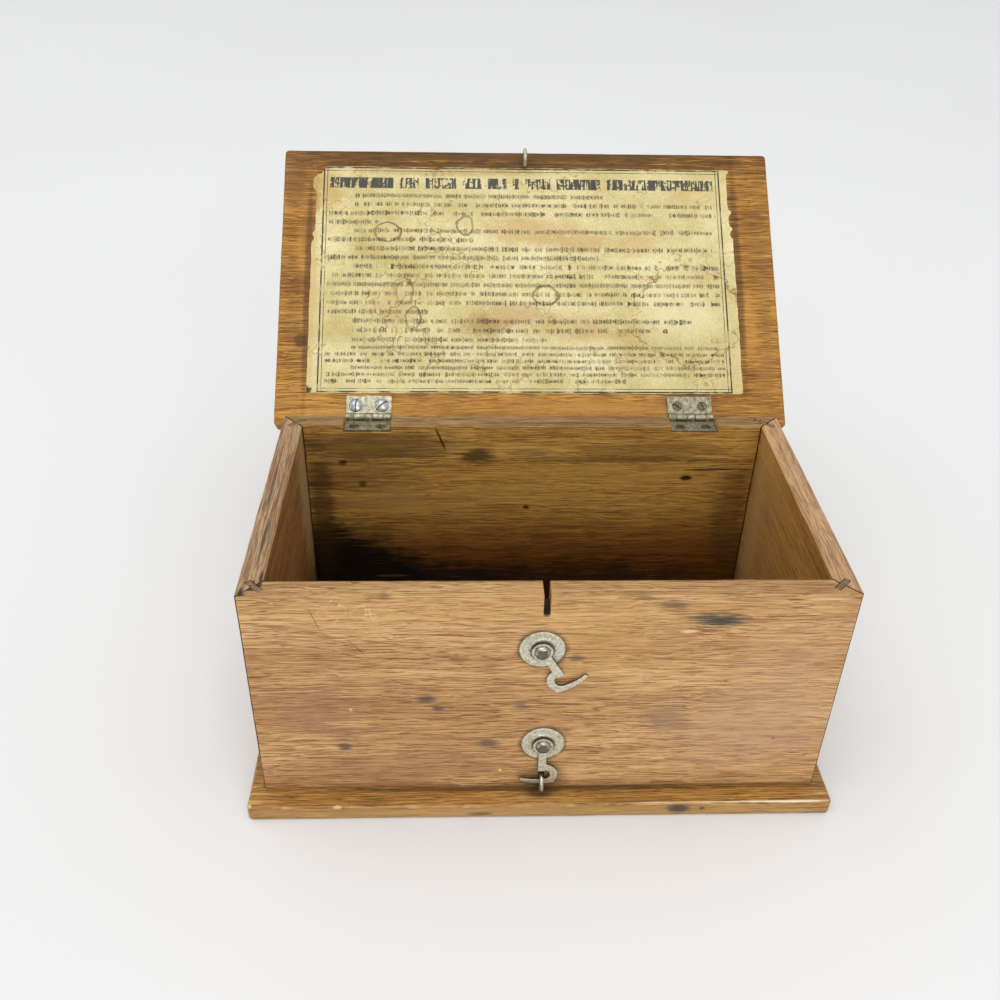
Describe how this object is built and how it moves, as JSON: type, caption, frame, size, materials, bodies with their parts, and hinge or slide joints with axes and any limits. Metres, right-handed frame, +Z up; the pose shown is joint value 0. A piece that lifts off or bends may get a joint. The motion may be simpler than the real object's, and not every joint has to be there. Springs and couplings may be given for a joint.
{
  "type": "hinged wooden apparatus case",
  "caption": "Shallow oak box on a loose base board, with a hinged lid, a pasted sheet inside the lid and flat steel hooks that catch screw eyes.",
  "frame": {"origin": "centre of the base board's underside", "axes": "+Z up, +X to the right seen from the front, front wall with the hooks towards -Y"},
  "size_m": [0.24, 0.2513, 0.2044],
  "materials": {
    "case_oak": "worn clear varnish on oak",
    "base_oak": "worn clear varnish on oak",
    "lid_oak": "worn clear varnish on oak",
    "label_paper": "aged matt paper",
    "nickelled_steel": "tarnished nickel plate",
    "zinc_screw": "bright zinc plate"
  },
  "bodies": {
    "case": {"base_board": "base_oak", "locating_dowels": "base_oak", "front_wall": "case_oak", "back_wall": "case_oak", "left_wall": "case_oak", "right_wall": "case_oak", "front_left_spline": "case_oak", "front_right_spline": "case_oak", "back_left_spline": "case_oak", "back_right_spline": "case_oak", "left_hinge_box_leaf": "nickelled_steel", "left_hinge_pin": "nickelled_steel", "left_hinge_box_screws": "nickelled_steel", "right_hinge_box_leaf": "nickelled_steel", "right_hinge_pin": "nickelled_steel", "right_hinge_box_screws": "nickelled_steel", "upper_rosette": "nickelled_steel", "upper_hook_pivot": "nickelled_steel", "lower_rosette": "nickelled_steel", "lower_hook_pivot": "nickelled_steel", "base_screw_eye": "nickelled_steel"},
    "lid": {"lid_board": "lid_oak", "directions_label": "label_paper", "left_hinge_lid_leaf": "nickelled_steel", "left_hinge_lid_screws": "zinc_screw", "right_hinge_lid_leaf": "nickelled_steel", "right_hinge_lid_screws": "nickelled_steel", "lid_screw_eye": "nickelled_steel"},
    "upper_hook": {"upper_hook": "nickelled_steel"},
    "lower_hook": {"lower_hook": "nickelled_steel"}
  },
  "joints": [
    {"name": "lid_hinge", "type": "hinge", "parent": "case", "child": "lid", "pos_m": [0, 0.069, 0.1083], "axis": [1, 0, 0], "range_deg": [0, 138]},
    {"name": "upper_hook_pivot", "type": "hinge", "parent": "case", "child": "upper_hook", "pos_m": [-0.0026, -0.0645, 0.0841], "axis": [0, -1, 0], "range_deg": [-180, 149]},
    {"name": "lower_hook_pivot", "type": "hinge", "parent": "case", "child": "lower_hook", "pos_m": [-0.0002, -0.0645, 0.0333], "axis": [0, -1, 0], "range_deg": [0, 325]}
  ]
}
